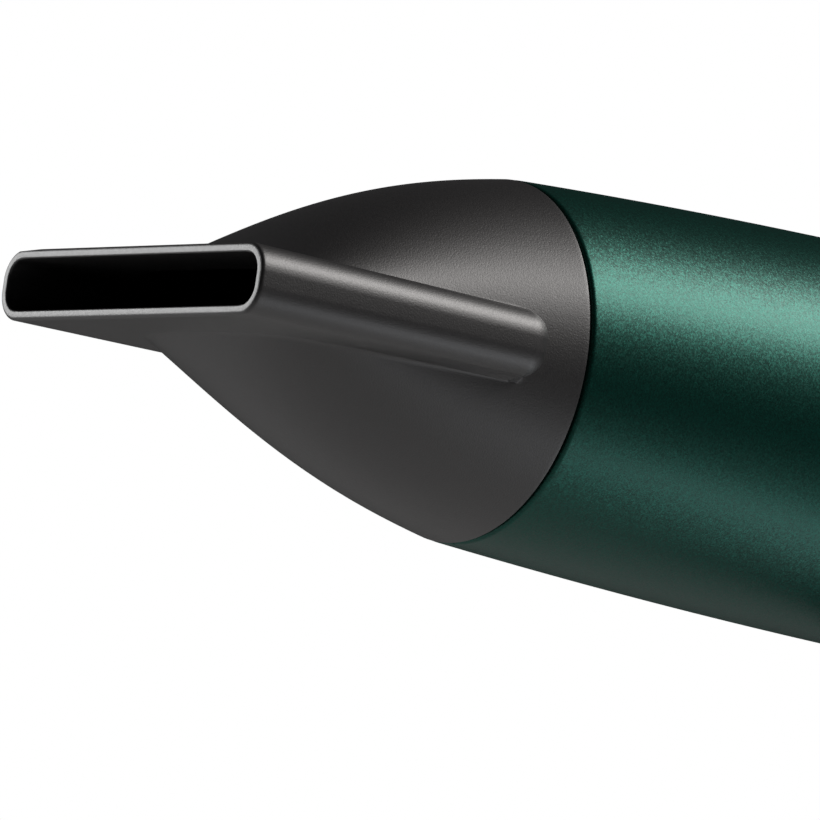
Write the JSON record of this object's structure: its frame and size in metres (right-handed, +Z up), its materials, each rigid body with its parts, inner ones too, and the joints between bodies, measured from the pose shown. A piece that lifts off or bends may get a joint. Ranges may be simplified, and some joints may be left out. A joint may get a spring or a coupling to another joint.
{
  "type": "hair dryer",
  "caption": "Hand-held hair dryer with a wide flat concentrator nozzle that turns and pulls off, slide switches, a cool-shot button and a removable rear grille.",
  "frame": {"origin": "middle of the hand grip, on the handle's centre line", "axes": "-Y is the way the air blows, along the barrel's axis; +Y is towards the rear grille; +Z is up, from the handle's foot towards the barrel; +X is the right-hand side seen from behind"},
  "size_m": [0.0812, 0.2537, 0.2267],
  "materials": {
    "nozzle_plastic": "matte, fine spark-eroded grain",
    "dark_plastic": "matte, moulded",
    "inner_plastic": "plain moulded, heat resistant",
    "button_plastic": "satin",
    "green_paint": "satin metallic paint on moulded plastic",
    "soft_rubber": "matte",
    "mica": "silvery pressed mica sheet",
    "resistance_wire": "drawn nickel-chrome wire",
    "steel": "zinc plated",
    "steel_mesh": "woven wire",
    "bimetal": "plated case",
    "ferrite": "sintered",
    "lamination": "stamped silicon steel",
    "copper": "enamelled copper",
    "bronze": "sintered bronze",
    "circuit_board": "solder resist",
    "board_parts": "dipped components"
  },
  "bodies": {
    "housing": {"housing_right": "green_paint", "housing_left": "green_paint", "housing_screws": "steel", "outlet_ring": "dark_plastic", "outlet_grille": "dark_plastic", "heater_tube": "mica", "mica_board_upright": "mica", "mica_board_level": "mica", "heater_coil": "resistance_wire", "thermal_cutout": "bimetal", "thermal_fuse": "bimetal", "fan_duct": "inner_plastic", "motor_can": "steel", "motor_end_cap": "inner_plastic", "motor_magnets": "ferrite", "motor_bushes": "bronze", "motor_brushes": "copper", "duct_seal": "soft_rubber", "rear_bezel": "dark_plastic", "finger_guard": "dark_plastic", "ioniser_module": "inner_plastic", "ion_needle": "steel", "switch_plate": "dark_plastic", "speed_switch": "inner_plastic", "heat_switch": "inner_plastic", "cool_shot_spring": "steel", "cool_shot_switch": "inner_plastic", "control_board": "circuit_board", "board_parts": "board_parts", "foot_cap": "dark_plastic", "cord_bushing": "soft_rubber", "hanging_eye": "soft_rubber", "cord_clamp": "inner_plastic", "clamp_screws": "steel"},
    "nozzle_collar": {"nozzle_collar": "dark_plastic"},
    "nozzle": {"nozzle_shell": "nozzle_plastic"},
    "rear_cap": {"rear_grille": "dark_plastic", "filter_mesh": "steel_mesh"},
    "rotor": {"motor_shaft": "steel", "armature_core": "lamination", "armature_windings": "copper", "commutator": "copper", "fan_impeller": "inner_plastic"},
    "speed_slider": {"speed_slider": "dark_plastic"},
    "heat_slider": {"heat_slider": "dark_plastic"},
    "cool_shot_button": {"cool_shot_button": "button_plastic"}
  },
  "joints": [
    {"name": "nozzle_pull", "type": "slide", "parent": "housing", "child": "nozzle_collar", "axis": [0, -1, 0], "range_m": [0, 0.03]},
    {"name": "nozzle_turn", "type": "hinge", "parent": "nozzle_collar", "child": "nozzle", "pos_m": [0, -0.12592, 0.09903], "axis": [0, 1, 0], "continuous": true},
    {"name": "rear_cap_pull", "type": "slide", "parent": "housing", "child": "rear_cap", "axis": [0, 1, 0], "range_m": [0, 0.02]},
    {"name": "fan_spin", "type": "hinge", "parent": "housing", "child": "rotor", "pos_m": [0, -0.12592, 0.09903], "axis": [0, 1, 0], "continuous": true},
    {"name": "speed_slide", "type": "slide", "parent": "housing", "child": "speed_slider", "axis": [0, -0.1392, 0.9903], "range_m": [0, 0.008]},
    {"name": "heat_slide", "type": "slide", "parent": "housing", "child": "heat_slider", "axis": [0, -0.1392, 0.9903], "range_m": [0, 0.008]},
    {"name": "cool_shot_press", "type": "slide", "parent": "housing", "child": "cool_shot_button", "axis": [0, 0.9903, 0.1392], "range_m": [0, 0.0025], "stiffness_N_per_m": 400, "springref_m": -0.002, "deforming": ["cool_shot_spring"]}
  ]
}
